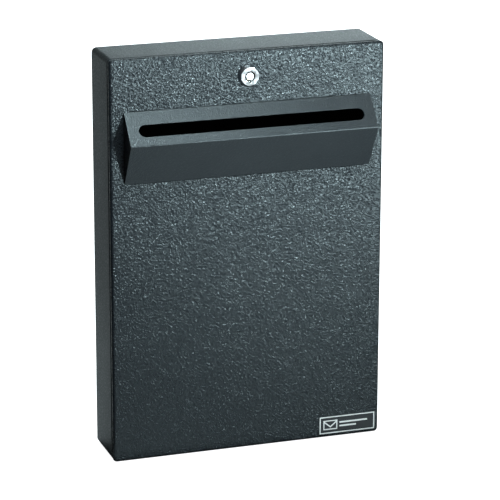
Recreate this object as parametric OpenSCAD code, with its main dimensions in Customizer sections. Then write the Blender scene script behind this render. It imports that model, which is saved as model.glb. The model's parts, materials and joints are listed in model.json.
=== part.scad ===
// Slim wall-mounted steel drop box with a hooded slot and a locked door.
//
// Every piece is drawn in a front view: x to the right, y up, z out from
// the wall. The origin is the centre of the wall-hole pattern, on the back
// face. in_frame() then turns the front view so that the box stands with
// +Z up and its door facing -Y.

/* [Case] */
// Width of the case and of the door
case_w = 279.4; // [265:0.1:420]
// Height of the case and of the door
case_h = 406.4; // [350:0.1:650]
// Depth from the wall to the door's front face
box_d = 61; // [50:0.5:150]
// Thickness of the folded steel sheet
sheet_t = 1.2; // [0.9:0.1:1.5]
// Outside radius of the case's four upright corners
case_corner_r = 5; // [3:0.5:12]
// Outside bend radius along the case's front edges
case_bend_r = 2; // [1.7:0.1:3]
// Width of the lips that frame the case's front opening
case_lip_w = 14; // [12:0.5:16]

/* [Back panel] */
// Depth of the back panel's welded flange
back_flange_d = 12; // [6:1:25]
// Gap between the back panel's flange and the case wall
back_seam = 0.1; // [0.05:0.05:0.5]
// Spacing of the wall holes across the box
wall_hole_dx = 203.2; // [80:0.1:220]
// Spacing of the wall holes up the box
wall_hole_dz = 330.2; // [100:0.1:331]
// Diameter of the wall holes
wall_hole_d = 8; // [5:0.5:12]

/* [Door] */
// Depth of the door's folded rim
door_rim_d = 3.8; // [3.7:0.1:12]
// Outside radius of the door's corners
door_corner_r = 4; // [3.6:0.1:8]
// Outside bend radius along the door's front edges
door_edge_r = 3; // [1.8:0.1:3.2]
// Width of the lip folded in behind the door's rim
door_lip_w = 10; // [10:0.5:11]
// Gap between the closed door and the case
door_gap = 2.3; // [2.2:0.1:3]

/* [Hood] */
// Distance from the hood's ends to the door's edges
hood_margin = 14.2; // [13:0.1:60]
// Distance from the door's top edge down to the hood
hood_drop = 51.7; // [48:0.1:120]
// Height of the hood's foot on the door
hood_h = 71.5; // [60:0.5:120]
// How far the hood's ridge lies below its top edge
ridge_drop = 28.3; // [24:0.1:40]
// How far the hood's ridge stands out from the door
hood_out = 24; // [18:0.5:40]
// Outside bend radius of the hood's ridge
ridge_r = 1.8; // [1.6:0.1:4]
// Height of the flanges that hold the hood behind the door
hood_flange_h = 8; // [5:0.5:12]
// How far the flanges stop short of the hood's ends
hood_flange_inset = 6; // [3:0.5:15]
// Gap round the hood where it passes through the door
hood_seam = 0.3; // [0.1:0.1:0.6]

/* [Slot] */
// Distance from the slot's ends to the hood's ends
slot_margin = 11.2; // [6:0.1:60]
// Width of the slot across the hood's top face
slot_w = 13; // [6:0.5:18]
// Distance down the top face from its upper edge to the slot's middle
slot_down = 21; // [16:0.5:24]

/* [Chute] */
// Length of the sloping plate that leads into the case
chute_len = 36; // [15:1:45]
// Height of the chute's welded flange
chute_flange_h = 12; // [6:1:20]
// How far the chute stops short of the hood's flange at each end
chute_inset = 1; // [0.5:0.5:10]

/* [Hinge] */
// Outside diameter of the hinge knuckles
knuckle_d = 3; // [2.6:0.1:3.1]
// Length of one knuckle, before it is fitted to the hinge
knuckle_len = 15; // [10:1:30]
// Gap between neighbouring knuckles
knuckle_gap = 0.3; // [0.2:0.1:0.6]
// Diameter of the hinge pin
hinge_pin_d = 1.6; // [1.2:0.1:1.7]
// Running clearance round the hinge pin
hinge_pin_clear = 0.05; // [0.02:0.01:0.1]
// Height of the peened heads on the hinge pin
hinge_pin_head = 0.8; // [0.5:0.1:1.5]
// Thickness of the hinge leaves
leaf_t = 0.6; // [0.4:0.1:0.6]
// Width of the hinge leaves
leaf_w = 7; // [6:0.5:7.5]
// How far the hinge's axis lies in from the side of the box
hinge_inset = 0.9; // [0.8:0.05:1.1]
// How far the hinge's axis lies behind the door's back
hinge_sink = 0.85; // [0.7:0.05:1]
// Clearance of the knuckles in the door's groove
knuckle_room = 0.15; // [0.1:0.05:0.25]
// Distance from the hinge's ends to the box's top and bottom
hinge_margin = 15; // [8:1:60]

/* [Bumpers] */
// Diameter of the rubber bumpers behind the door's free edge
bumper_d = 8; // [5:0.5:9]
// Gap between a bumper and the closed door
bumper_clear = 0.2; // [0.1:0.1:0.4]
// Distance from the bumpers to the box's top and bottom
bumper_drop = 40; // [20:1:100]

/* [Lock] */
// Distance from the door's top edge down to the lock
lock_drop = 24.6; // [24.5:0.1:28]
// Diameter of the lock's head on the door
lock_head_d = 22; // [21:0.5:24]
// Diameter of the lock's flat front
lock_face_d = 18; // [14:0.5:20]
// Height of the lock's head
lock_head_h = 4.5; // [3:0.5:8]
// Straight height at the foot of the lock's head
lock_foot_h = 0.8; // [0.4:0.1:1.5]
// Diameter of the lock's threaded barrel
barrel_d = 19; // [17:0.5:19]
// Width of the barrel across its two flats
barrel_flats = 16; // [14.6:0.1:16.5]
// Length of the barrel behind the door's front face
barrel_len = 11; // [9:0.5:16]
// Gap round the barrel in the door's hole
barrel_clear = 0.2; // [0.1:0.1:0.5]
// Outside diameter of the ring-shaped keyway
keyway_d = 10.2; // [9:0.1:11]
// Depth of the keyway
keyway_depth = 6; // [4:0.5:7]
// Width of the key's guide notch
key_notch_w = 1.6; // [1:0.1:2.5]
// Length of the guide notch outside the keyway
key_notch_len = 1.3; // [0.6:0.1:2]
// Diameter of the post inside the keyway
post_d = 7.3; // [5:0.1:7.5]
// How far the post sits back from the lock's front
post_set_back = 0.3; // [0.1:0.1:1]
// Diameter of the turning core
core_d = 12.8; // [12:0.1:13]
// Running clearance round the core
core_clear = 0.06; // [0.02:0.01:0.1]
// Number of pin tumblers
lock_pin_count = 7; // [4:1:8]
// Diameter of a pin tumbler
lock_pin_d = 1.2; // [0.8:0.1:1.3]
// Length of a pin tumbler
lock_pin_len = 3.6; // [2:0.1:5]
// How far the pin tumblers stand up in the keyway
lock_pin_proud = 0.8; // [0.3:0.1:2]
// Clearance round a pin tumbler
lock_pin_clear = 0.03; // [0.02:0.01:0.05]
// Width of the mounting nut across its flats
nut_af = 22; // [21.5:0.1:23]
// Thickness of the mounting nut
nut_t = 2.6; // [2:0.1:2.8]
// Diameter of the washer under the nut
lock_washer_d = 24; // [22:0.5:26]
// Thickness of the washer under the nut
lock_washer_t = 0.8; // [0.5:0.1:0.9]
// Clearance of the nut and its washer on the barrel
nut_clear = 0.08; // [0.05:0.01:0.2]

/* [Cam] */
// Angle that the lock turns through, in degrees
lock_turn = 90; // [80:5:120]
// Reach of the cam from the lock's middle
cam_reach = 22; // [20:0.5:22.5]
// Width of the cam
cam_w = 14; // [10:0.5:15]
// Thickness of the cam
cam_t = 1.6; // [1.2:0.1:2]
// Radius of the cam's root
cam_root_r = 9; // [8:0.5:10]
// Distance from the lock's middle to the start of the cam's step
cam_step_start = 10.5; // [10:0.5:12]
// Length of the cam's sloping step
cam_step_len = 4; // [3:0.5:5]
// Gap between the locked cam and the case's lip
cam_lip_clear = 1.7; // [0.3:0.1:2]
// Width of the square spindle that drives the cam
spindle_w = 7; // [6:0.1:8]
// Clearance of the stop washer and the cam on the spindle
spindle_clear = 0.05; // [0.03:0.01:0.1]
// Diameter of the stop washer
stop_washer_d = 17; // [16.4:0.1:18]
// Thickness of the stop washer
stop_washer_t = 1; // [0.8:0.1:1.5]
// Height of the stop boss on the barrel's end
stop_boss_h = 1.2; // [0.8:0.1:1.5]
// Width of the stop washer's tab, in degrees
stop_tab_angle = 30; // [20:1:45]
// Angular clearance of the tab at each end, in degrees
stop_tab_clear = 1.5; // [1:0.5:4]
// Gap between the stop washer and the lock's barrel
stop_gap = 0.15; // [0.1:0.05:0.4]
// Diameter of the cam screw's shank
cam_screw_d = 4; // [3:0.5:5]
// Length of the cam screw's shank
cam_screw_len = 8; // [6:0.5:9]
// Diameter of the cam screw's head
cam_screw_head_d = 8; // [7:0.5:9]
// Height of the cam screw's head
cam_screw_head_h = 2.4; // [1.5:0.1:4]
// Width and depth of the cam screw's cross slot
cam_screw_slot = 1; // [0.6:0.1:1.2]
// Clearance round the cam screw's shank
cam_screw_clear = 0.05; // [0.03:0.01:0.2]
// Diameter of the spring washer
spring_washer_d = 7.6; // [6.5:0.1:9]
// Thickness of the spring washer
spring_washer_t = 1; // [0.6:0.1:1.5]
// Width of the cut in the spring washer
spring_washer_cut = 0.8; // [0.4:0.1:1.5]

/* [Nameplate] */
// Width of the nameplate
plate_w = 60; // [30:1:80]
// Height of the nameplate
plate_h = 19; // [10:0.5:30]
// Thickness of the nameplate
plate_t = 0.6; // [0.4:0.1:1.5]
// Corner radius of the nameplate
plate_r = 0.8; // [0.5:0.1:3]
// Distance from the nameplate to the door's right edge
plate_side = 4; // [3.5:0.1:40]
// Distance from the nameplate to the door's bottom edge
plate_rise = 3.8; // [3.5:0.1:40]
// Thickness of the raised marks
mark_t = 0.15; // [0.1:0.05:0.4]
// Width of the lines in the marks
mark_line = 1.1; // [0.6:0.1:2]
// Distance from the nameplate's edge to its border line
mark_inset = 0.5; // [0.3:0.1:2]
// Width of the envelope mark
envelope_w = 15; // [8:0.5:18]
// Height of the envelope mark
envelope_h = 10; // [6:0.5:12]
// Length of the longer bar beside the envelope
bar_len = 30; // [10:1:32]

/* [Hidden] */
$fn = 48;

// How far a cutter runs past the face that it cuts
past = 1;

// Levels out from the wall
door_front = box_d;
door_inner = box_d - sheet_t;
door_back = box_d - door_rim_d;
case_front = door_back - door_gap;
lip_back = case_front - sheet_t;

// Hollow between the door's front sheet and its folded lip
door_hollow_d = door_rim_d - 2 * sheet_t;
door_hollow_r = min(door_edge_r - sheet_t, door_hollow_d - 0.2);

// Hood: its ends, its levels up the door and its ridge, as [out, up]
hood_w = case_w - 2 * hood_margin;
hood_top = case_h / 2 - hood_drop;
hood_foot = hood_top - hood_h;
hood_a = [door_front, hood_top];
hood_b = [door_front, hood_foot];
ridge = [door_front + hood_out, hood_top - ridge_drop];
passage_w = hood_w - 2 * hood_flange_inset;

function unit(v) = v / norm(v);
up_slope = unit(hood_a - ridge);
down_slope = unit(hood_b - ridge);
ridge_in = unit(up_slope + down_slope);
ridge_half = acos(up_slope * down_slope) / 2;

// Ridge bend: its centre, the direction of its first point and its steps
bend_c = ridge + ridge_in * ridge_r / sin(ridge_half);
bend_start = atan2(-up_slope.x, up_slope.y);
bend_steps = 10;

// Where the hood's sheet turns to pass through the door, and its flanges
function pass_out(dir) = door_front - (sheet_t / abs(dir.x) - sheet_t) * abs(dir.x / dir.y);
flange_front = door_inner - 0.05;
flange_back = flange_front - sheet_t;

// Slot in the hood's top face
slot_len = hood_w - 2 * slot_margin;
slot_c = hood_a - up_slope * slot_down;
slot_tilt = -atan2(hood_out, ridge_drop);

// Chute: a sheet folded back down from the top of its own flange
chute_w = passage_w - 2 * chute_inset;
chute_front = flange_back - 0.05;
chute_top = hood_foot + sheet_t;

// Hinge
hinge_x = case_w / 2 - hinge_inset;
hinge_out = door_back - hinge_sink;
leaf_end = hinge_x - knuckle_d / 2 - knuckle_room;
groove_len = case_h - 2 * hinge_margin + 2 * (hinge_pin_head + knuckle_gap);
hinge_len = case_h - 2 * hinge_margin;
knuckle_n = 2 * floor(hinge_len / knuckle_len / 2) + 1;
knuckle_pitch = hinge_len / knuckle_n;

// Bumpers
bumper_x = case_w / 2 - door_lip_w / 2;

// Lock levels, out from the wall
lock_up = case_h / 2 - lock_drop;
lock_face = door_front + lock_head_h;
keyway_floor = lock_face - keyway_depth;
barrel_end = door_front - barrel_len;
core_r = core_d / 2;
core_bore_r = core_r + core_clear;
core_front = keyway_floor - 0.1;
stop_front = barrel_end - stop_boss_h - stop_gap;
cam_front = stop_front - stop_washer_t;
cam_back = cam_front - cam_t;
cam_tip_front = lip_back - cam_lip_clear;
nut_front = door_inner - lock_washer_t;

// The cam points left at rest and turns clockwise to point up
cam_rest = 180;
stop_tab_rest = cam_rest + 45;
stop_r_in = core_bore_r + 0.3;
stop_r_out = barrel_flats / 2 - 0.2;
stop_open = lock_turn + stop_tab_angle + 2 * stop_tab_clear;
stop_end = stop_tab_rest + stop_tab_angle / 2 + stop_tab_clear;

// Nameplate
plate_x = case_w / 2 - plate_side - plate_w / 2;
plate_y = -case_h / 2 + plate_rise + plate_h / 2;
mark_gap = (plate_h - envelope_h) / 2;
envelope_x = -plate_w / 2 + mark_gap + envelope_w / 2;
bar_x = envelope_x + envelope_w / 2 + mark_line * 2;

// ---- Shared shapes ----

// Turns the front view into the frame of the box
module in_frame() {
    rotate([90, 0, 0]) children();
}

// Rectangle with round corners
module rounded(w, h, r) {
    square([w - 2 * r, h], center = true);
    square([w, h - 2 * r], center = true);
    for (sx = [-1, 1], sy = [-1, 1])
        translate([sx * (w / 2 - r), sy * (h / 2 - r)]) circle(r = r);
}

// Section through a soft edge: straight below, a quarter circle on top
module edge_section(d, r) {
    square([r, d - r]);
    translate([0, d - r]) intersection() {
        circle(r = r);
        square(r);
    }
}

// Slab with round corners and a bent front edge, from z = 0 to z = d
module soft_slab(w, h, d, corner_r, edge_r) {
    linear_extrude(d) rounded(w - 2 * edge_r, h - 2 * edge_r, corner_r - edge_r);
    for (side = [[0, w, h], [90, h, w], [180, w, h], [270, h, w]]) {
        half = side[1] / 2;
        run = side[2] - 2 * corner_r;
        rotate([0, 0, side[0]]) {
            translate([half - edge_r, run / 2, 0]) rotate([90, 0, 0])
                linear_extrude(run) edge_section(d, edge_r);
            translate([half - corner_r, run / 2, 0]) rotate_extrude(angle = 90)
                translate([corner_r - edge_r, 0]) edge_section(d, edge_r);
        }
    }
}

// Long slot with round ends
module stadium(len, w) {
    square([len - w, w], center = true);
    for (s = [-1, 1]) translate([s * (len - w) / 2, 0]) circle(d = w);
}

// Section drawn as [out, up], run out along the width of the box
module folded(width) {
    rotate([0, -90, 0]) linear_extrude(width, center = true) children();
}

// Round part about the lock's axis, from one level to another
module lock_disc(d, low, high) {
    translate([0, lock_up, low]) cylinder(d = d, h = high - low);
}

// Part of a flat ring about the lock's axis
module lock_arc(r_in, r_out, start, sweep, low, high) {
    translate([0, lock_up, low]) rotate([0, 0, start]) rotate_extrude(angle = sweep)
        translate([r_in, 0]) square([r_out - r_in, high - low]);
}

// Square hole or shank about the lock's axis
module lock_square(w, low, high) {
    translate([-w / 2, lock_up - w / 2, low]) cube([w, w, high - low]);
}

// ---- Case ----

module case_wrap() {
    color("#3c4245") in_frame() difference() {
        soft_slab(case_w, case_h, case_front, case_corner_r, case_bend_r);
        translate([0, 0, -past])
            soft_slab(case_w - 2 * sheet_t, case_h - 2 * sheet_t, lip_back + past,
                      case_corner_r - sheet_t, case_bend_r - sheet_t);
        translate([0, 0, lip_back - past]) linear_extrude(sheet_t + 2 * past)
            rounded(case_w - 2 * case_lip_w, case_h - 2 * case_lip_w, case_corner_r - sheet_t);
    }
}

module back_panel() {
    gap = sheet_t + back_seam;
    inner = gap + sheet_t;
    color("#3c4245") in_frame() difference() {
        linear_extrude(back_flange_d)
            rounded(case_w - 2 * gap, case_h - 2 * gap, case_corner_r - gap);
        translate([0, 0, sheet_t]) linear_extrude(back_flange_d)
            rounded(case_w - 2 * inner, case_h - 2 * inner, case_corner_r - inner);
        for (sx = [-1, 1], sy = [-1, 1])
            translate([sx * wall_hole_dx / 2, sy * wall_hole_dz / 2, -past])
                cylinder(d = wall_hole_d, h = sheet_t + 2 * past);
    }
}

module door_bumpers() {
    color("#1b1b1c") in_frame()
        for (s = [-1, 1])
            translate([-bumper_x, s * (case_h / 2 - bumper_drop), case_front])
                cylinder(d = bumper_d, h = door_gap - bumper_clear);
}

// ---- Hinge ----

// Knuckles first, first + 2 and so on, each with the tongue of its leaf
module knuckles(first, leaf_low) {
    for (i = [first : 2 : knuckle_n - 1]) {
        low = -hinge_len / 2 + i * knuckle_pitch + knuckle_gap / 2;
        high = low + knuckle_pitch - knuckle_gap;
        translate([hinge_x, high, hinge_out]) rotate([90, 0, 0])
            cylinder(d = knuckle_d, h = high - low);
        translate([leaf_end - past, low, leaf_low])
            cube([hinge_x - leaf_end + past, high - low, leaf_t]);
    }
}

module hinge_leaf(first, leaf_low) {
    difference() {
        union() {
            translate([leaf_end - leaf_w, -hinge_len / 2, leaf_low])
                cube([leaf_w, hinge_len, leaf_t]);
            knuckles(first, leaf_low);
        }
        translate([hinge_x, hinge_len / 2 + past, hinge_out]) rotate([90, 0, 0])
            cylinder(d = hinge_pin_d + 2 * hinge_pin_clear, h = hinge_len + 2 * past);
    }
}

module hinge_case_leaf() {
    color("#2e3234") in_frame() hinge_leaf(0, case_front);
}

module hinge_door_leaf() {
    color("#2e3234") in_frame() hinge_leaf(1, door_back - leaf_t);
}

module hinge_pin() {
    color("#9a9c9e") in_frame() translate([hinge_x, hinge_len / 2, hinge_out])
        rotate([90, 0, 0]) {
            cylinder(d = hinge_pin_d, h = hinge_len);
            for (z = [-hinge_pin_head, hinge_len])
                translate([0, 0, z]) cylinder(d = knuckle_d - 0.6, h = hinge_pin_head);
        }
}

// ---- Door ----

// Hole for the lock's barrel, with its two flats
module barrel_hole() {
    intersection() {
        circle(d = barrel_d + 2 * barrel_clear);
        square([barrel_flats + 2 * barrel_clear, barrel_d + 2 * past], center = true);
    }
}

module door_panel() {
    passage_top = hood_top + hood_seam;
    passage_foot = hood_foot - hood_seam;
    color("#454c50") in_frame() difference() {
        translate([0, 0, door_back])
            soft_slab(case_w, case_h, door_rim_d, door_corner_r, door_edge_r);
        translate([0, 0, door_back + sheet_t])
            soft_slab(case_w - 2 * sheet_t, case_h - 2 * sheet_t, door_hollow_d,
                      door_corner_r - sheet_t, door_hollow_r);
        translate([0, 0, door_back - past])
            linear_extrude(past + sheet_t + door_hollow_d / 2)
                rounded(case_w - 2 * door_lip_w, case_h - 2 * door_lip_w,
                        door_corner_r - sheet_t);
        translate([hinge_x, groove_len / 2, hinge_out]) rotate([90, 0, 0])
            cylinder(d = knuckle_d + 2 * knuckle_room, h = groove_len);
        translate([0, lock_up, door_back]) linear_extrude(door_rim_d + past) barrel_hole();
        translate([-passage_w / 2 - hood_seam, passage_foot, door_back])
            cube([passage_w + 2 * hood_seam, passage_top - passage_foot, door_rim_d + past]);
    }
}

// ---- Hood ----

// Points of the ridge bend at radius r, from its top to its foot
function ridge_bend(r) = [
    for (i = [0 : bend_steps])
        let (turn = bend_start - i * (180 - 2 * ridge_half) / bend_steps)
        bend_c + r * [cos(turn), sin(turn)]
];

// Section of the folded hood, with the flanges that lie behind the door
module hood_section() {
    inner_bend = ridge_bend(ridge_r - sheet_t);
    polygon([
        [flange_back, hood_top + hood_flange_h],
        [flange_front, hood_top + hood_flange_h],
        [flange_front, hood_top],
        hood_a,
        each ridge_bend(ridge_r),
        hood_b,
        [flange_front, hood_foot],
        [flange_front, hood_foot - hood_flange_h],
        [flange_back, hood_foot - hood_flange_h],
        [flange_back, hood_foot + sheet_t],
        [pass_out(down_slope), hood_foot + sheet_t],
        each [for (i = [bend_steps : -1 : 0]) inner_bend[i]],
        [pass_out(up_slope), hood_top - sheet_t],
        [flange_back, hood_top - sheet_t],
    ]);
}

module hood_shell() {
    side = hood_flange_inset + past;
    color("#454c50") in_frame() difference() {
        folded(hood_w) hood_section();
        for (s = [-1, 1])
            translate([s * (passage_w / 2 + side / 2), (hood_top + hood_foot) / 2,
                       door_front - box_d / 2])
                cube([side, hood_h * 2, box_d], center = true);
        translate([0, slot_c.y, slot_c.x]) rotate([slot_tilt, 0, 0])
            linear_extrude(4 * sheet_t, center = true) stadium(slot_len, slot_w);
    }
}

// Triangular cheek that closes one end of the hood, inside its sheet
module hood_end(side) {
    fit = 0.05;
    top_in = hood_a - [0, (sheet_t + fit) / abs(up_slope.x)];
    foot_in = hood_b + [0, (sheet_t + fit) / abs(down_slope.x)];
    tip_in = ridge_bend(ridge_r - sheet_t - fit);
    color("#2f3437") in_frame() translate([side * (hood_w - sheet_t) / 2, 0, 0])
        folded(sheet_t) polygon([top_in, each tip_in, foot_in]);
}

module hood_end_left() {
    hood_end(-1);
}

module hood_end_right() {
    hood_end(1);
}

module chute_baffle() {
    start = [chute_front - sheet_t, chute_top];
    square_off = sheet_t * [-down_slope.y, down_slope.x];
    tip = start + down_slope * chute_len;
    color("#3c4245") in_frame() folded(chute_w) polygon([
        [chute_front, chute_top - chute_flange_h],
        [chute_front, chute_top],
        start,
        tip,
        tip + square_off,
        start - [0, sheet_t / abs(down_slope.x)],
        [chute_front - sheet_t, chute_top - chute_flange_h],
    ]);
}

// ---- Nameplate ----

module nameplate() {
    color("#26282a") in_frame() translate([plate_x, plate_y, door_front])
        linear_extrude(plate_t) rounded(plate_w, plate_h, plate_r);
}

// Plain border, an envelope and two bars
module nameplate_marks() {
    edge = 2 * mark_inset;
    inner = edge + 2 * mark_line;
    color("#e8e8e6") in_frame() translate([plate_x, plate_y, door_front + plate_t])
        linear_extrude(mark_t) {
            difference() {
                square([plate_w - edge, plate_h - edge], center = true);
                square([plate_w - inner, plate_h - inner], center = true);
            }
            translate([envelope_x, 0]) {
                difference() {
                    square([envelope_w, envelope_h], center = true);
                    square([envelope_w - 2 * mark_line, envelope_h - 2 * mark_line],
                           center = true);
                }
                polygon([
                    [-envelope_w / 2, envelope_h / 2],
                    [0, -mark_line],
                    [envelope_w / 2, envelope_h / 2],
                    [envelope_w / 2, envelope_h / 2 - 1.5 * mark_line],
                    [0, -2.6 * mark_line],
                    [-envelope_w / 2, envelope_h / 2 - 1.5 * mark_line],
                ]);
            }
            for (bar = [[bar_len, 1], [bar_len * 0.6, -1]])
                translate([bar_x, bar[1] * 1.8 * mark_line - 0.75 * mark_line])
                    square([bar[0], 1.5 * mark_line]);
        }
}

// ---- Lock ----

module lock_housing() {
    key_notch_r = keyway_d / 2 + key_notch_len;
    color("#d9dadb") in_frame() {
        difference() {
            union() {
                lock_disc(lock_head_d, door_front, door_front + lock_foot_h);
                translate([0, lock_up, door_front + lock_foot_h])
                    cylinder(d1 = lock_head_d, d2 = lock_face_d, h = lock_head_h - lock_foot_h);
                intersection() {
                    lock_disc(barrel_d, barrel_end, door_front);
                    translate([-barrel_flats / 2, lock_up - barrel_d, barrel_end])
                        cube([barrel_flats, 2 * barrel_d, barrel_len]);
                }
            }
            lock_disc(keyway_d, keyway_floor - past, lock_face + past);
            lock_disc(2 * core_bore_r, barrel_end - past, keyway_floor);
            translate([-key_notch_w / 2, lock_up - key_notch_r, keyway_floor])
                cube([key_notch_w, key_notch_r, keyway_depth + past]);
        }
        lock_arc(stop_r_in, stop_r_out, stop_end, 360 - stop_open,
                 barrel_end - stop_boss_h, barrel_end);
    }
}

module lock_washer() {
    color("#b9bbbd") in_frame() difference() {
        lock_disc(lock_washer_d, nut_front, door_inner);
        lock_disc(barrel_d + 2 * nut_clear, nut_front - past, door_inner + past);
    }
}

module lock_nut() {
    color("#b9bbbd") in_frame() difference() {
        translate([0, lock_up, nut_front - nut_t])
            cylinder(d = nut_af / cos(30), h = nut_t, $fn = 6);
        lock_disc(barrel_d + 2 * nut_clear, nut_front - nut_t - past, nut_front + past);
    }
}

module pin_places() {
    for (i = [0 : lock_pin_count - 1])
        translate([0, lock_up, core_front]) rotate([0, 0, i * 360 / lock_pin_count])
            translate([(keyway_d + post_d) / 4, 0, lock_pin_proud - lock_pin_len]) children();
}

module lock_core() {
    color("#cfd1d2") in_frame() difference() {
        union() {
            lock_disc(post_d, core_front, lock_face - post_set_back);
            lock_disc(core_d, stop_front, core_front);
            lock_square(spindle_w, cam_back + 0.15, stop_front);
        }
        pin_places() cylinder(d = lock_pin_d + 2 * lock_pin_clear, h = lock_pin_len + past);
        lock_disc(cam_screw_d + 2 * cam_screw_clear, cam_back - past, cam_back + cam_screw_len);
        translate([-key_notch_w / 4, lock_up - post_d / 2 - past, core_front])
            cube([key_notch_w / 2, past + key_notch_w / 3, keyway_depth]);
    }
}

module lock_pins() {
    color("#c2a15a") in_frame() pin_places() cylinder(d = lock_pin_d, h = lock_pin_len);
}

module cam_stop_washer() {
    color("#b9bbbd") in_frame() {
        difference() {
            lock_disc(stop_washer_d, cam_front, stop_front);
            lock_square(spindle_w + 2 * spindle_clear, cam_front - past, stop_front + past);
        }
        lock_arc(stop_r_in, stop_r_out, stop_tab_rest - stop_tab_angle / 2, stop_tab_angle,
                 stop_front, barrel_end - stop_gap);
    }
}

module lock_cam() {
    tip_c = cam_reach - cam_w / 2;
    step_end = cam_step_start + cam_step_len;
    color("#a9abad") in_frame() difference() {
        translate([0, lock_up, 0]) rotate([0, 0, cam_rest]) intersection() {
            rotate([90, 0, 0]) linear_extrude(3 * cam_w, center = true) polygon([
                [-cam_root_r, cam_back],
                [-cam_root_r, cam_front],
                [cam_step_start, cam_front],
                [step_end, cam_tip_front],
                [cam_reach, cam_tip_front],
                [cam_reach, cam_tip_front - cam_t],
                [step_end + cam_t / 2, cam_tip_front - cam_t],
                [cam_step_start + cam_t / 2, cam_back],
            ]);
            linear_extrude(box_d) {
                circle(r = cam_root_r);
                translate([0, -cam_w / 2]) square([tip_c, cam_w]);
                translate([tip_c, 0]) circle(d = cam_w);
            }
        }
        lock_square(spindle_w + 2 * spindle_clear, cam_back - past, cam_front + past);
    }
}

module cam_spring_washer() {
    low = cam_back - spring_washer_t;
    color("#8f9193") in_frame() difference() {
        lock_disc(spring_washer_d, low, cam_back);
        lock_disc(cam_screw_d + 2 * cam_screw_clear, low - past, cam_back + past);
        translate([-spring_washer_cut / 2, lock_up, low - past])
            cube([spring_washer_cut, spring_washer_d, spring_washer_t + 2 * past]);
    }
}

module cam_screw() {
    head_front = cam_back - spring_washer_t;
    head_back = head_front - cam_screw_head_h;
    color("#a9abad") in_frame() difference() {
        union() {
            lock_disc(cam_screw_head_d, head_back, head_front);
            lock_disc(cam_screw_d, head_front, cam_back + cam_screw_len - 0.5);
        }
        for (turn = [0, 90])
            translate([0, lock_up, head_back + cam_screw_slot / 2 - past / 2])
                rotate([0, 0, turn])
                    cube([0.6 * cam_screw_head_d, cam_screw_slot, cam_screw_slot + past],
                         center = true);
    }
}

case_wrap();
back_panel();
door_bumpers();
hinge_case_leaf();
hinge_pin();
door_panel();
hood_shell();
hood_end_left();
hood_end_right();
chute_baffle();
hinge_door_leaf();
nameplate();
nameplate_marks();
lock_housing();
lock_washer();
lock_nut();
lock_core();
lock_pins();
cam_stop_washer();
lock_cam();
cam_spring_washer();
cam_screw();
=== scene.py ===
# %% [markdown]
# # A slim steel drop box
#
# This lesson dresses a wall drop box that is folded from steel sheet: a shallow case, a
# hinged door with a hooded slot in it, and a round chrome lock. The shapes and sizes come
# from a CAD model, which is loaded first and never changed. Each later step looks at one
# piece or one finish, and makes it look like the real thing.

# %% Load the CAD model
import json
import math

import bmesh
import bpy
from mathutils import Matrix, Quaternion, Vector


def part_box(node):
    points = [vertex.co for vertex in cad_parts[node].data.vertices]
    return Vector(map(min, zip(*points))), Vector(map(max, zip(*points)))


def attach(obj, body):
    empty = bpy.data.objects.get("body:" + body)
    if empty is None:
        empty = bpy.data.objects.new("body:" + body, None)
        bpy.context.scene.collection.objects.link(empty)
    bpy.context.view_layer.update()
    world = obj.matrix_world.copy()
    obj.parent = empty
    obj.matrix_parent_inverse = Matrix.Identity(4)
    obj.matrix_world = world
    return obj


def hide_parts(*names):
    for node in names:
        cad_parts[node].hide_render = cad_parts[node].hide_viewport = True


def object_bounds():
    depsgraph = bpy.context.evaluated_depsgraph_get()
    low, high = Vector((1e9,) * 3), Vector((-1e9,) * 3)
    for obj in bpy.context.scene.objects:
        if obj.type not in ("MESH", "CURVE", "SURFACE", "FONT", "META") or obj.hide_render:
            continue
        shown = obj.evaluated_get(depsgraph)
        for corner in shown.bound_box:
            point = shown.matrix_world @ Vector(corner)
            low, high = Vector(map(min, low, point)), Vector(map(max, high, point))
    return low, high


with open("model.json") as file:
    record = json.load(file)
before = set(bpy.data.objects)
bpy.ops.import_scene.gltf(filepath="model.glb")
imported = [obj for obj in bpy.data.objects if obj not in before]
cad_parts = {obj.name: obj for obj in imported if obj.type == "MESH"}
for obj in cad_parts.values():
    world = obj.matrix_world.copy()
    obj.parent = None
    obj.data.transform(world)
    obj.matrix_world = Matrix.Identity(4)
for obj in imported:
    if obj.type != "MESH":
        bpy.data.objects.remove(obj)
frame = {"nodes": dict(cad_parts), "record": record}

cad_low, cad_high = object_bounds()
nodes = frame["nodes"]
MM = 0.001
print("CAD pieces:", len(nodes))
print("CAD size in mm:", [round(v / MM, 1) for v in cad_high - cad_low])

# %% [markdown]
# ## The camera
#
# A product picture of a flat box is taken from well back with a long lens, so that its
# upright edges stay nearly parallel. The camera stands in front, a little to the left and
# above. It could be turned by three angles, but it is easier to say where it stands and
# what it looks at, and to add the small roll at the end.

# %% Place the camera
CAMERA_PLACE = Vector((-0.8150, -2.4714, 0.7774))
CAMERA_LOOK = Vector((0.3070, 0.9061, -0.2911))
CAMERA_DISTANCE = 2.66
CAMERA_AIM = CAMERA_PLACE + CAMERA_DISTANCE * CAMERA_LOOK
CAMERA_ROLL = math.radians(0.13)
CAMERA_LENS = 195.2
CAMERA_SENSOR = 36

camera = bpy.data.objects.new("camera", bpy.data.cameras.new("camera"))
camera.data.sensor_width = CAMERA_SENSOR
camera.data.lens = CAMERA_LENS
camera.rotation_mode = "QUATERNION"
camera.location = CAMERA_PLACE
looking = (CAMERA_AIM - CAMERA_PLACE).to_track_quat("-Z", "Y")
camera.rotation_quaternion = looking @ Quaternion((0, 0, 1), CAMERA_ROLL)
bpy.context.scene.collection.objects.link(camera)
bpy.context.scene.camera = camera
bpy.context.scene.view_settings.view_transform = "Standard"
print("Camera distance in m:", round((CAMERA_AIM - CAMERA_PLACE).length, 3))

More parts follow.
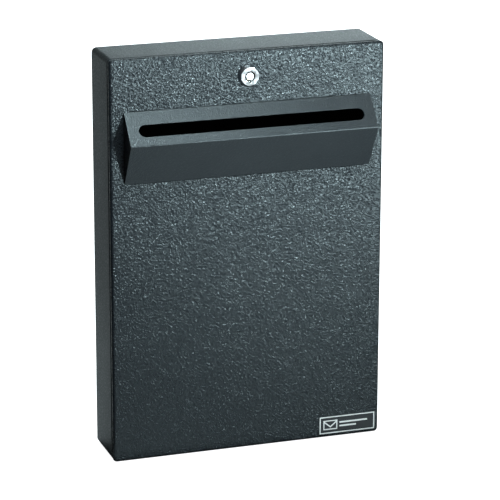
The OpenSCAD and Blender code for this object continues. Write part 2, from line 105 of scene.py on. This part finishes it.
# %% [markdown]
# ## Helpers for node trees
#
# Every finish here is built from nodes. Written out in full, each node takes four or five
# lines, and the idea gets lost. One helper adds a node, sets its options, and wires or sets
# its inputs, so that a finish reads like a recipe. Another opens a node group, which is a
# recipe with named inputs and outputs that several finishes can share.

# %% Add one node
def wire(tree, socket, value):
    """Wires a socket to another one, or sets its value."""
    if isinstance(value, bpy.types.NodeSocket):
        tree.links.new(value, socket)
    else:
        socket.default_value = value


def add(tree, kind, inputs=None, **options):
    """Adds a node. An input is given by name or place, as a value or as a socket to wire."""
    made = tree.nodes.new(kind)
    for option, value in options.items():
        setattr(made, option, value)
    for key, value in (inputs or {}).items():
        wire(tree, made.inputs[key], value)
    return made


def maths(tree, operation, *values, clamp=False):
    """A Math node's output."""
    inputs = dict(enumerate(values))
    return add(tree, "ShaderNodeMath", inputs, operation=operation, use_clamp=clamp).outputs[0]


def remap(tree, value, low, high, to_low=0.0, to_high=1.0, smooth=False):
    """A value moved from one range to another, and held inside it."""
    kind = "SMOOTHSTEP" if smooth else "LINEAR"
    inputs = {0: value, 1: low, 2: high, 3: to_low, 4: to_high}
    return add(tree, "ShaderNodeMapRange", inputs, interpolation_type=kind).outputs[0]


def blend_colour(tree, mask, first, second):
    """first where the mask is 0, second where it is 1."""
    mixed = add(tree, "ShaderNodeMix", {0: mask, 6: first, 7: second}, data_type="RGBA")
    return mixed.outputs[2]


print("Node helpers:", [f.__name__ for f in (wire, add, maths, remap, blend_colour)])

# %% Open and place a node group
SOCKETS = {"value": "NodeSocketFloat", "colour": "NodeSocketColor", "vector": "NodeSocketVector"}


def open_group(name, inputs, outputs):
    """A shader node group and its two end nodes. inputs maps a name to (kind, default)."""
    tree = bpy.data.node_groups.new(name, "ShaderNodeTree")
    for label, (kind, default) in inputs.items():
        socket = tree.interface.new_socket(label, in_out="INPUT", socket_type=SOCKETS[kind])
        socket.default_value = default
    for label, kind in outputs.items():
        tree.interface.new_socket(label, in_out="OUTPUT", socket_type=SOCKETS[kind])
    return tree, tree.nodes.new("NodeGroupInput").outputs, tree.nodes.new("NodeGroupOutput").inputs


def place(tree, group, **inputs):
    """Puts a group in a material and returns its outputs. An underscore stands for a space."""
    made = add(tree, "ShaderNodeGroup", node_tree=group)
    for label, value in inputs.items():
        wire(tree, made.inputs[label.replace("_", " ")], value)
    return made.outputs


print("Group helpers:", [f.__name__ for f in (open_group, place)])

# %% [markdown]
# ## Leather grain in powder coat
#
# The box is painted with textured powder: the powder melts in an oven, wrinkles as it flows
# together, and sets as small soft ridges about two millimetres apart. A picture of leather
# could be stretched over the mesh, but it would need unwrapping and would repeat. Here a
# Voronoi pattern, bent by noise and drawn out along a diagonal, gives the ridges, and a
# finer noise roughens them. It is laid out in the object's own space, so it stays put when
# the door swings.

# %% Leather grain group
grain_group, g_in, g_out = open_group(
    "leather_grain",
    {"Cell": ("value", 0.0022), "Bend": ("value", 0.9), "Fine": ("value", 0.25)},
    {"Height": "value", "Valley": "value"},
)
t = grain_group
place_on_object = add(t, "ShaderNodeTexCoord").outputs["Object"]
cells_per_metre = maths(t, "DIVIDE", 1.0, g_in["Cell"])
in_cells = add(t, "ShaderNodeVectorMath", {0: place_on_object, "Scale": cells_per_metre},
               operation="SCALE").outputs[0]
streaked = add(t, "ShaderNodeMapping", {"Vector": in_cells, "Rotation": (0.0, 0.7, 0.0),
                                        "Scale": (0.8, 1.0, 1.35)}, vector_type="TEXTURE")
in_cells = streaked.outputs[0]
flow = add(t, "ShaderNodeTexNoise", {"Vector": in_cells, "Scale": 0.55, "Detail": 2.0})
flow_centred = add(t, "ShaderNodeVectorMath", {0: flow.outputs["Color"], 1: (0.5, 0.5, 0.5)},
                   operation="SUBTRACT").outputs[0]
flow_scaled = add(t, "ShaderNodeVectorMath", {0: flow_centred, "Scale": g_in["Bend"]},
                  operation="SCALE").outputs[0]
bent = add(t, "ShaderNodeVectorMath", {0: in_cells, 1: flow_scaled}, operation="ADD").outputs[0]
crease = add(t, "ShaderNodeTexVoronoi", {"Vector": bent, "Scale": 1.0},
             feature="DISTANCE_TO_EDGE").outputs["Distance"]
pillow = remap(t, crease, 0.0, 0.42, smooth=True)
lumps = add(t, "ShaderNodeTexNoise", {"Vector": bent, "Scale": 0.8, "Detail": 1.0}).outputs[0]
lumps = remap(t, lumps, 0.3, 0.7)
fine = add(t, "ShaderNodeTexNoise", {"Vector": in_cells, "Scale": 5.0, "Detail": 2.0}).outputs[0]
fine = maths(t, "MULTIPLY", fine, g_in["Fine"])
body_of_grain = maths(t, "MULTIPLY_ADD", pillow, 0.45, maths(t, "MULTIPLY", lumps, 0.55))
t.links.new(maths(t, "ADD", body_of_grain, fine), g_out["Height"])
t.links.new(maths(t, "SUBTRACT", 1.0, pillow), g_out["Valley"])
print("Group:", t.name, "with", len(t.nodes), "nodes")

# %% [markdown]
# ## Tone, edge wear and painted highlight, and dust
#
# A coat is never one even colour. It is a little thicker here and thinner there, so it
# varies over some centimetres. Its edges are made shinier and paler: partly wear, where hands
# and letters touch it, and partly a painted highlight, strongest on the hood's ridge. Dust
# settles on whatever faces up. Each of these is used by nearly every finish below, so each is
# a group of its own. The edge mask compares the true normal with one rounded over the edge by
# a Bevel node: they differ only near an edge.

# %% Tone group
tone_group, g_in, g_out = open_group(
    "coat_tone",
    {"Colour": ("colour", (0.04, 0.045, 0.05, 1)), "Spread": ("value", 0.12),
     "Patch": ("value", 0.05)},
    {"Colour": "colour", "Patchiness": "value"},
)
t = tone_group
place_on_object = add(t, "ShaderNodeTexCoord").outputs["Object"]
patches_per_metre = maths(t, "DIVIDE", 1.0, g_in["Patch"])
cloud = add(t, "ShaderNodeTexNoise", {"Vector": place_on_object, "Scale": patches_per_metre,
                                      "Detail": 4.0, "Roughness": 0.6}).outputs[0]
cloud = remap(t, cloud, 0.3, 0.7)
speck = add(t, "ShaderNodeTexNoise", {"Vector": place_on_object, "Scale": 1800.0,
                                      "Detail": 1.0}).outputs[0]
speck = remap(t, speck, 0.3, 0.7)
both = maths(t, "MULTIPLY_ADD", cloud, 0.7, maths(t, "MULTIPLY", speck, 0.3))
around_one = maths(t, "MULTIPLY_ADD", maths(t, "SUBTRACT", both, 0.5), g_in["Spread"], 1.0)
toned = add(t, "ShaderNodeVectorMath", {0: g_in["Colour"], "Scale": around_one},
            operation="SCALE").outputs[0]
t.links.new(toned, g_out["Colour"])
t.links.new(both, g_out["Patchiness"])
print("Group:", t.name, "with", len(t.nodes), "nodes")

# %% Edge wear and painted highlight group
edge_wear_and_highlight_group, g_in, g_out = open_group(
    "edge_wear_and_highlight",
    {"Reach": ("value", 0.0008), "Amount": ("value", 0.5)},
    {"Mask": "value"},
)
t = edge_wear_and_highlight_group
rounded = add(t, "ShaderNodeBevel", {"Radius": g_in["Reach"]}, samples=4).outputs[0]
true_normal = add(t, "ShaderNodeNewGeometry").outputs["Normal"]
agreement = add(t, "ShaderNodeVectorMath", {0: rounded, 1: true_normal},
                operation="DOT_PRODUCT").outputs["Value"]
near_edge = remap(t, agreement, 0.99, 0.80)
place_on_object = add(t, "ShaderNodeTexCoord").outputs["Object"]
edge_patches = add(t, "ShaderNodeTexNoise", {"Vector": place_on_object, "Scale": 160.0,
                                    "Detail": 4.0}).outputs[0]
edge_patches = remap(t, edge_patches, 0.42, 0.62)
t.links.new(maths(t, "MULTIPLY", maths(t, "MULTIPLY", near_edge, edge_patches), g_in["Amount"]),
            g_out["Mask"])
print("Group:", t.name, "with", len(t.nodes), "nodes")

# %% Dust group
dust_group, g_in, g_out = open_group(
    "settled_dust", {"Amount": ("value", 0.1)}, {"Mask": "value"})
t = dust_group
upward = add(t, "ShaderNodeSeparateXYZ",
             {0: add(t, "ShaderNodeNewGeometry").outputs["Normal"]}).outputs["Z"]
lies = remap(t, upward, 0.3, 0.95)
place_on_object = add(t, "ShaderNodeTexCoord").outputs["Object"]
drift = add(t, "ShaderNodeTexNoise", {"Vector": place_on_object, "Scale": 55.0,
                                      "Detail": 6.0}).outputs[0]
drift = remap(t, drift, 0.4, 0.75)
t.links.new(maths(t, "MULTIPLY", maths(t, "MULTIPLY", lies, drift), g_in["Amount"]),
            g_out["Mask"])
print("Group:", t.name, "with", len(t.nodes), "nodes")

# %% [markdown]
# ## Marks of the lathe and the press
#
# Turned and rolled metal keeps fine lines. Noise that is stretched far along one direction
# gives them: a small scale along the line and a large one across it. The same group serves
# for turned steel, where the lines are drawn finely enough to spread the shine, and for
# zinc plate, where they are faint. Narrow hollows such as a keyway are darkened as painted
# shade. An Ambient Occlusion node tells how much open space a spot sees, which finds them.

# %% Fine lines group
lines_group, g_in, g_out = open_group(
    "fine_lines",
    {"Along": ("vector", (40.0, 40.0, 2600.0)), "Contrast": ("value", 1.0)},
    {"Line": "value", "Blotch": "value"},
)
t = lines_group
place_on_object = add(t, "ShaderNodeTexCoord").outputs["Object"]
stretched = add(t, "ShaderNodeVectorMath", {0: place_on_object, 1: g_in["Along"]},
                operation="MULTIPLY").outputs[0]
line = add(t, "ShaderNodeTexNoise", {"Vector": stretched, "Scale": 1.0, "Detail": 3.0}).outputs[0]
line = maths(t, "MULTIPLY", remap(t, line, 0.3, 0.7), g_in["Contrast"])
blotch = add(t, "ShaderNodeTexNoise", {"Vector": place_on_object, "Scale": 260.0,
                                       "Detail": 5.0}).outputs[0]
t.links.new(line, g_out["Line"])
t.links.new(remap(t, blotch, 0.35, 0.65), g_out["Blotch"])
print("Group:", t.name, "with", len(t.nodes), "nodes")

# %% Painted hollow shade group
hollow_shade_group, g_in, g_out = open_group(
    "painted_hollow_shade", {"Reach": ("value", 0.003), "Amount": ("value", 1.0)}, {"Mask": "value"})
t = hollow_shade_group
openness = add(t, "ShaderNodeAmbientOcclusion", {"Distance": g_in["Reach"]},
               samples=8).outputs["AO"]
t.links.new(maths(t, "MULTIPLY", remap(t, openness, 0.62, 0.30), g_in["Amount"]), g_out["Mask"])
print("Group:", t.name, "with", len(t.nodes), "nodes")

# %% [markdown]
# ## The finishes
#
# Each finish is one Principled BSDF, with the groups above placed around it. Values that are
# the same all over, such as the sheen of the clear top of the paint, are set on the shader
# itself. Paint and plastic are not metallic, bare and plated metal are.

# %% Powder coat
finishes = {}
VALLEY_SHADE = (0.012, 0.014, 0.016, 1)
VALLEY_MIX = 0.35
# Paler edge colour: wear, and also a painted highlight, most on the hood's ridge.
WORN_AND_HIGHLIT_EDGE = (0.16, 0.17, 0.175, 1)
DUST_COLOUR = (0.30, 0.29, 0.27, 1)
COAT_TINT = (0.88, 0.98, 1.0, 1)


def start_finish(name):
    """An empty material with its shader and output, kept under its name."""
    material = bpy.data.materials.new(name)
    material.use_nodes = True
    material.node_tree.nodes.clear()
    shader = add(material.node_tree, "ShaderNodeBsdfPrincipled")
    add(material.node_tree, "ShaderNodeOutputMaterial", {"Surface": shader.outputs[0]})
    finishes[name] = material
    return material.node_tree, shader


def set_shader(tree, shader, **inputs):
    """Sets or wires the shader's own inputs. An underscore stands for a space."""
    for label, value in inputs.items():
        wire(tree, shader.inputs[label.replace("_", " ")], value)


def powder_coat(name, colour, cell, depth, rough, wear, dust):
    """Textured powder coat: grain of a cell size and depth in metres, paler at edges from wear and
    a painted highlight.
    """
    tree, shader = start_finish(name)
    grain = place(tree, grain_group, Cell=cell, Fine=0.06)
    tone = place(tree, tone_group, Colour=colour, Spread=0.22)
    pale_edge = place(tree, edge_wear_and_highlight_group, Amount=wear)["Mask"]
    dusty = place(tree, dust_group, Amount=dust)["Mask"]
    in_valley = maths(tree, "MULTIPLY", grain["Valley"], VALLEY_MIX)
    shaded = blend_colour(tree, in_valley, tone["Colour"], VALLEY_SHADE)
    pale_edged = blend_colour(tree, pale_edge, shaded, WORN_AND_HIGHLIT_EDGE)
    dusted = blend_colour(tree, dusty, pale_edged, DUST_COLOUR)
    gloss = maths(tree, "MULTIPLY_ADD", grain["Valley"], 0.16, rough)
    gloss = maths(tree, "MULTIPLY_ADD", pale_edge, -0.10, gloss)
    gloss = maths(tree, "MULTIPLY_ADD", dusty, 0.4, gloss, clamp=True)
    bump = add(tree, "ShaderNodeBump", {"Height": grain["Height"], "Strength": 1.0,
                                        "Distance": depth})
    set_shader(tree, shader, Base_Color=dusted, Roughness=gloss, Normal=bump.outputs[0],
               Specular_IOR_Level=0.42, Specular_Tint=COAT_TINT)


powder_coat("case_paint", (0.014, 0.017, 0.018, 1), 0.0026, 0.00012, 0.40, 0.10, 0.05)
powder_coat("door_paint", (0.008, 0.010, 0.013, 1), 0.0020, 0.00046, 0.21, 0.10, 0.04)
# The hood's stronger paler edge is a painted highlight along its ridge.
powder_coat("hood_paint", (0.024, 0.027, 0.030, 1), 0.0022, 0.00022, 0.31, 0.4, 0.06)
# The inner coat is much darker than the outer one: painted shade for the dark inside seen through
# the slot.
powder_coat("inner_paint", (0.008, 0.009, 0.010, 1), 0.0026, 0.00010, 0.70, 0.3, 0.04)
powder_coat("hinge_paint", (0.018, 0.021, 0.023, 1), 0.0016, 0.00004, 0.45, 1.0, 0.05)
print("Powder coats:", sorted(finishes))

# %% Plated and turned metal
# The colour of painted shade in the metals' narrow hollows.
METAL_HOLLOW_SHADE = (0.012, 0.012, 0.012, 1)


def metal(name, colour, dark, rough, along, line_depth, wear_colour=None):
    """Bare or plated metal with fine lines, darker blotches, a varied shine and painted shade in
    its hollows.
    """
    tree, shader = start_finish(name)
    lines = place(tree, lines_group, Along=along)
    blotch = maths(tree, "MULTIPLY", lines["Blotch"], 0.5)
    toned = blend_colour(tree, blotch, colour, dark)
    gloss = maths(tree, "MULTIPLY_ADD", lines["Blotch"], 0.10, rough)
    gloss = maths(tree, "MULTIPLY_ADD", lines["Line"], 0.06, gloss)
    if wear_colour:
        pale_edge = place(tree, edge_wear_and_highlight_group, Reach=0.0004, Amount=0.8)["Mask"]
        toned = blend_colour(tree, pale_edge, toned, wear_colour)
    # Painted shade: spots that see little open space, such as a keyway, are darkened.
    hollow_shading = place(tree, hollow_shade_group)["Mask"]
    toned = blend_colour(tree, hollow_shading, toned, METAL_HOLLOW_SHADE)
    gloss = maths(tree, "MULTIPLY_ADD", hollow_shading, 0.4, gloss)
    bump = add(tree, "ShaderNodeBump", {"Height": lines["Line"], "Strength": 0.6,
                                        "Distance": line_depth})
    set_shader(tree, shader, Base_Color=toned, Roughness=gloss, Metallic=1.0,
               Normal=bump.outputs[0])


metal("chrome", (0.86, 0.87, 0.88, 1), (0.80, 0.81, 0.82, 1), 0.05,
      (500.0, 500.0, 500.0), 0.000002)
metal("core_steel", (0.80, 0.80, 0.80, 1), (0.70, 0.70, 0.70, 1), 0.12,
      (300.0, 4000.0, 300.0), 0.000004)
metal("pin_steel", (0.55, 0.55, 0.56, 1), (0.38, 0.38, 0.39, 1), 0.24,
      (60.0, 60.0, 4000.0), 0.000006)
metal("zinc", (0.60, 0.61, 0.61, 1), (0.42, 0.43, 0.44, 1), 0.30,
      (120.0, 120.0, 2200.0), 0.000008, (0.75, 0.75, 0.74, 1))
metal("brass", (0.72, 0.50, 0.20, 1), (0.50, 0.33, 0.12, 1), 0.22,
      (300.0, 4000.0, 300.0), 0.000004)
print("Metals made:", [n for n in finishes if "paint" not in n])

# %% Rubber, anodised plate and printed ink
RUBBED_PLATE = (0.4, 0.41, 0.42, 1)


def soft_finish(name, colour, rough, grain_size, grain_depth, metallic=0.0, wear=0.0):
    """A smooth finish with a very fine grain: moulded rubber, anodising or ink."""
    tree, shader = start_finish(name)
    tone = place(tree, tone_group, Colour=colour, Spread=0.2, Patch=0.012)
    grain = place(tree, grain_group, Cell=grain_size, Fine=0.5)
    gloss = maths(tree, "MULTIPLY_ADD", tone["Patchiness"], 0.12, rough)
    shade = tone["Colour"]
    if wear:
        pale_edge = place(tree, edge_wear_and_highlight_group, Reach=0.0003, Amount=wear)["Mask"]
        shade = blend_colour(tree, pale_edge, shade, RUBBED_PLATE)
    bump = add(tree, "ShaderNodeBump", {"Height": grain["Height"], "Strength": 0.5,
                                        "Distance": grain_depth})
    set_shader(tree, shader, Base_Color=shade, Roughness=gloss, Metallic=metallic,
               Normal=bump.outputs[0])


soft_finish("rubber", (0.018, 0.018, 0.019, 1), 0.62, 0.0006, 0.00002)
soft_finish("plate_black", (0.020, 0.022, 0.025, 1), 0.30, 0.0005, 0.000004, 0.2, 0.6)
soft_finish("plate_white", (0.80, 0.80, 0.78, 1), 0.40, 0.0005, 0.000003)
print("Finishes made:", len(finishes))

# %% Give every CAD piece its finish
slot_of = {part["node"]: part["material_slot"] for part in frame["record"]["subparts"]}
for name, piece in nodes.items():
    for place_in_mesh in range(len(piece.data.materials)):
        piece.data.materials[place_in_mesh] = finishes[slot_of[name]]
print("Dressed:", len(slot_of), "CAD pieces")

# %% [markdown]
# ## Eased edges on cut sheet
#
# A CAD edge is perfectly sharp, and a real one never is: a punch leaves a small roll, and
# powder coat rounds it further, so an edge shows as a fine bright line. Each sheet piece is
# copied, its doubled corners are merged, its flat triangles joined into whole faces, and a
# Bevel modifier then eases the sharp edges only. The copy stands for the CAD piece.

# %% Copy a piece with eased edges
MERGE_WITHIN = 0.002 * MM
FLAT = math.radians(0.4)
SHARP = math.radians(35)
EASE_SEGMENTS = 2
body_of = {n: b for b, ns in frame["record"]["behaviour"]["bodies"].items() for n in ns}

# The width of the rounding on each piece, in mm
SHEETS = {"case_wrap": 0.25, "back_panel": 0.25, "door_panel": 0.25, "hood_shell": 0.35,
          "chute_baffle": 0.25, "hood_end_left": 0.2, "hood_end_right": 0.2, "nameplate": 0.12}
SMALL = {"hinge_case_leaf": 0.12, "hinge_door_leaf": 0.12, "hinge_pin": 0.25,
         "door_bumpers": 0.6, "lock_washer": 0.15, "lock_nut": 0.35, "lock_pins": 0.25,
         "lock_core": 0.10, "cam_stop_washer": 0.12, "lock_cam": 0.15,
         "cam_spring_washer": 0.10, "cam_screw": 0.20, "lock_housing": 0.12}

def eased(node, width):
    """A copy of a CAD piece with its sharp edges rounded by a width in metres."""
    name = node + "_eased"
    source = nodes[node].data
    mesh = bpy.data.meshes.new(name)
    corners = [v.co for v in source.vertices]
    mesh.from_pydata(corners, [], [f.vertices[:] for f in source.polygons])
    work = bmesh.new()
    work.from_mesh(mesh)
    bmesh.ops.remove_doubles(work, verts=work.verts, dist=MERGE_WITHIN)
    bmesh.ops.dissolve_limit(work, angle_limit=FLAT, verts=work.verts, edges=work.edges)
    bmesh.ops.recalc_face_normals(work, faces=work.faces)
    work.to_mesh(mesh)
    work.free()
    mesh.shade_smooth()
    mesh.set_sharp_from_angle(angle=SHARP)
    piece = bpy.data.objects.new(name, mesh)
    bpy.context.scene.collection.objects.link(piece)
    easing = piece.modifiers.new("eased", "BEVEL")
    easing.limit_method = "ANGLE"
    easing.angle_limit = SHARP
    easing.width = width
    easing.segments = EASE_SEGMENTS
    easing.use_clamp_overlap = node not in SHEETS
    easing.harden_normals = True
    mesh.materials.append(finishes[slot_of[node]])
    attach(piece, body_of[node])
    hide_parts(node)
    return piece


for node, width in {**SHEETS, **SMALL}.items():
    made = eased(node, width * MM)
    print(made.name, len(made.data.vertices), "corners")

# %% [markdown]
# ## Weld spots
#
# The hood and the chute have flanges that lie flat behind the door, and are joined to it by
# spot welds. Each weld leaves a shallow dish with a low rim where the electrode pressed. A
# dish is a profile turned about its centre, so one small function turns it and a row of
# places repeats it. Painted over, the spots show only as soft rings.

# %% Turn a profile and repeat it
def turned(profile, steps):
    """Corners and faces of a profile of (radius, height) turned about +Y, heights along +Y."""
    corners, faces = [(0.0, profile[0][1], 0.0)], []
    for radius, height in profile[1:]:
        for k in range(steps):
            angle = math.tau * k / steps
            corners.append((radius * math.cos(angle), height, radius * math.sin(angle)))
    for k in range(steps):
        after = (k + 1) % steps
        faces.append((0, 1 + after, 1 + k))
        for ring in range(len(profile) - 2):
            low = 1 + ring * steps
            faces.append((low + k, low + after, low + steps + after, low + steps + k))
    return corners, faces


def new_piece(name, corners, faces, body, slot, smooth_to=50):
    """A new object from corners in metres, riding on a body, dressed for its slot."""
    mesh = bpy.data.meshes.new(name)
    mesh.from_pydata(corners, [], faces)
    mesh.shade_smooth()
    mesh.set_sharp_from_angle(angle=math.radians(smooth_to))
    mesh.materials.append(finishes[slot])
    piece = bpy.data.objects.new(name, mesh)
    bpy.context.scene.collection.objects.link(piece)
    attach(piece, body)


# Radius and height in mm, from the middle of the dish to the foot of its rim
WELD_PROFILE = [(0.0, 0.03), (1.1, 0.035), (1.7, 0.10), (2.1, 0.15), (2.5, 0.10), (2.9, -0.03)]
weld_profile = [(r * MM, h * MM) for r, h in WELD_PROFILE]
WELD_STEP = 34.2 * MM
SPOT_SIDES = 24
PLACES_IN_ROW = range(-3, 4)
HOOD_ROW_BELOW_TOP, HOOD_FLANGE_REAR = 4 * MM, -58.55 * MM
CHUTE_ROW_BELOW_TOP, CHUTE_FLANGE_REAR = 6 * MM, -57.30 * MM
hood_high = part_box("hood_shell")[1]
chute_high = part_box("chute_baffle")[1]
rows = [  # how high each row lies, and how far back its flange's rear face is
    (hood_high.z - HOOD_ROW_BELOW_TOP, HOOD_FLANGE_REAR),
    (chute_high.z - CHUTE_ROW_BELOW_TOP, CHUTE_FLANGE_REAR),
]
corners, faces = [], []
for up, back in rows:
    for place_in_row in PLACES_IN_ROW:
        spot, spot_faces = turned(weld_profile, SPOT_SIDES)
        first = len(corners)
        corners += [(x + place_in_row * WELD_STEP, y + back, z + up) for x, y, z in spot]
        faces += [tuple(first + k for k in face) for face in spot_faces]
new_piece("weld_spots", corners, faces, body_of["hood_shell"], slot_of["chute_baffle"])
print("Weld spots:", len(PLACES_IN_ROW) * len(rows))

# %% [markdown]
# ## Thread on the lock's barrel
#
# A drum lock is held by a nut on a threaded barrel with two flats, so the thread is cut in
# two. Each turn is a low ridge that climbs by one pitch. It is built as short arcs of a
# four-sided bar: the bar follows the helix from one flat to the other, and sinks into the
# barrel at both ends, as a thread does where the flat cuts through it.

# %% Build the thread
nut_low, nut_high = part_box("lock_nut")
axis_x, axis_z = 0.5 * (nut_low.x + nut_high.x), 0.5 * (nut_low.z + nut_high.z)
BARREL_R, FLAT_HALF, PITCH, RIDGE = 9.5 * MM, 8.0 * MM, 1.0 * MM, 0.32 * MM
# Half the ridge's foot and half its flat top, as parts of a pitch
FOOT_HALF, TOP_HALF = 0.42, 0.07
# How far the foot sinks into the barrel, as a part of the ridge's height
SUNK = -0.3
# The ridge rises over a sixth of the arc at each end
RISE = 6
ARC_STEPS = 28
BEYOND_FLAT = math.radians(1)
flat_angle = math.acos(FLAT_HALF / BARREL_R) + BEYOND_FLAT
THREAD_START, CLEAR_OF_NUT = -50.5 * MM, 0.2 * MM
thread_stop = nut_high.y + CLEAR_OF_NUT
corners, faces = [], []


def thread_arc(start_y, side):
    """One arc of ridge over the top (side 0) or under the bottom (side 1) of the barrel."""
    first = len(corners)
    for k in range(ARC_STEPS + 1):
        part = k / ARC_STEPS
        angle = side * math.pi + flat_angle + part * (math.pi - 2 * flat_angle)
        y = start_y - PITCH * (angle / math.tau)
        fade = min(1.0, RISE * part, RISE * (1 - part))
        for shift, lift in ((-FOOT_HALF, SUNK), (-TOP_HALF, fade),
                            (TOP_HALF, fade), (FOOT_HALF, SUNK)):
            radius = BARREL_R + lift * RIDGE
            corners.append((axis_x + radius * math.cos(angle), y + shift * PITCH,
                            axis_z + radius * math.sin(angle)))
    for k in range(ARC_STEPS):
        for j in range(4):
            here, above = first + 4 * k + j, first + 4 * k + (j + 1) % 4
            faces.append((here, above, above + 4, here + 4))
    faces.append(tuple(first + j for j in (3, 2, 1, 0)))
    faces.append(tuple(first + 4 * ARC_STEPS + j for j in range(4)))


turn_y = THREAD_START
while turn_y - PITCH > thread_stop:
    thread_arc(turn_y, 0)
    thread_arc(turn_y, 1)
    turn_y -= PITCH
new_piece("barrel_thread", corners, faces, body_of["lock_housing"], slot_of["lock_housing"], 30)
print("Thread from", round(THREAD_START / MM, 1), "to", round(turn_y / MM, 1), "mm")

# %% [markdown]
# ## Floor and light
#
# Product pictures of dark things are taken on a white sweep. A small lamp with a grid on its
# front, low on the right, draws out the door's grain and fades towards the bottom, and one
# overhead does the same for the hood. Two broad lamps behind the box light its top. Dark
# cards lie and stand around it: flat faces hardly mirror them, but rounded edges do, which
# darkens the outline. The floor and the sky are plain white to the camera only, so the floor
# shows no shadow.

# %% Floor
floor_mesh = bpy.data.meshes.new("floor")
FLOOR_HALF = 9.0
FLOOR_GAP = 0.0002
floor_z = cad_low.z - FLOOR_GAP
floor_mesh.from_pydata([(x * FLOOR_HALF, y * FLOOR_HALF, floor_z)
                        for x, y in ((-1, -1), (1, -1), (1, 1), (-1, 1))], [], [(0, 1, 2, 3)])
floor = bpy.data.objects.new("floor", floor_mesh)
bpy.context.scene.collection.objects.link(floor)
tree, shader = start_finish("floor_sweep")
tone = place(tree, tone_group, Colour=(0.90, 0.90, 0.90, 1), Spread=0.02, Patch=0.6)
seen = add(tree, "ShaderNodeLightPath").outputs["Is Camera Ray"]
set_shader(tree, shader, Base_Color=tone["Colour"], Roughness=0.75,
           Emission_Color=(1, 1, 1, 1), Emission_Strength=seen)
floor_mesh.materials.append(finishes["floor_sweep"])
print("Floor at z in mm:", round(floor_z / MM, 1))

# %% Sky
world = bpy.data.worlds.new("studio")
bpy.context.scene.world = world
world.use_nodes = True
tree = world.node_tree
tree.nodes.clear()
SKY_SEEN, SKY_LIGHT = 1.0, 0.14
seen = add(tree, "ShaderNodeLightPath").outputs["Is Camera Ray"]
strength = remap(tree, seen, 0.0, 1.0, SKY_LIGHT, SKY_SEEN)
sky = add(tree, "ShaderNodeBackground", {"Color": (1, 1, 1, 1), "Strength": strength})
add(tree, "ShaderNodeOutputWorld", {"Surface": sky.outputs[0]})
print("Sky strength as a light:", SKY_LIGHT)

# %% Lamps
COOL_WHITE = (0.80, 0.96, 1.0)


def lamp(name, position, aim, width, height, power, spread=180):
    """A soft rectangular lamp that faces its aim. A small spread is a grid on its front."""
    made = bpy.data.objects.new(name, bpy.data.lights.new(name, "AREA"))
    made.data.shape = "RECTANGLE"
    made.data.size, made.data.size_y = width, height
    made.data.energy = power
    made.data.color = COOL_WHITE
    made.data.spread = math.radians(spread)
    made.location = position
    made.rotation_mode = "QUATERNION"
    made.rotation_quaternion = (Vector(aim) - Vector(position)).to_track_quat("-Z", "Y")
    made.visible_camera = False
    bpy.context.scene.collection.objects.link(made)
    print(name, power, "W")
    return made


lamp("key_lamp", (0.87, -1.85, 0.12), (0.09, -0.06, 0.23), 0.36, 0.32, 2.4, 31)
lamp("hood_lamp", (0.0, -0.75, 1.5), (-0.13, -0.07, 0.13), 0.30, 0.30, 0.7, 26)
lamp("back_lamp", (1.6, 3.0, 1.1), (0.1, 0.0, 0.2), 1.8, 1.2, 33)
ceiling = lamp("ceiling_lamp", (0.0, 2.8, 3.0), (0.0, 2.2, 0.0), 4.5, 4.0, 125)
ceiling.visible_glossy = False

# %% Dark cards
tree, shader = start_finish("card_felt")
tone = place(tree, tone_group, Colour=(0.004, 0.004, 0.004, 1), Spread=0.2)
set_shader(tree, shader, Base_Color=tone["Colour"], Roughness=0.9)

CARD_LIFT, CARD_TOP = 0.0001, 0.9
card_z = floor_z + CARD_LIFT
CARDS = {
    "standing_card": [(-1.6, -1.6, card_z), (-1.6, 1.2, card_z), (-1.6, 1.2, CARD_TOP),
                      (-1.6, -1.6, CARD_TOP)],
    "left_card": [(-1.6, -1.6, card_z), (-0.30, -1.6, card_z), (-0.15, -0.02, card_z),
                  (-1.0, 1.2, card_z), (-1.6, 1.2, card_z)],
    "right_card": [(0.15, -0.06, card_z), (1.15, -1.55, card_z), (2.0, -1.55, card_z),
                   (2.0, 0.3, card_z), (0.15, 0.1, card_z)],
    "foot_card": [(-0.15, -0.068, card_z), (0.15, -0.068, card_z), (0.15, 0.0, card_z),
                  (-0.15, 0.0, card_z)],
}
for name, corners in CARDS.items():
    card_mesh = bpy.data.meshes.new(name)
    card_mesh.from_pydata(corners, [], [tuple(range(len(corners)))])
    card_mesh.materials.append(finishes["card_felt"])
    card = bpy.data.objects.new(name, card_mesh)
    bpy.context.scene.collection.objects.link(card)
    card.visible_camera = False
    card.visible_shadow = False
print("Dark cards:", len(CARDS))
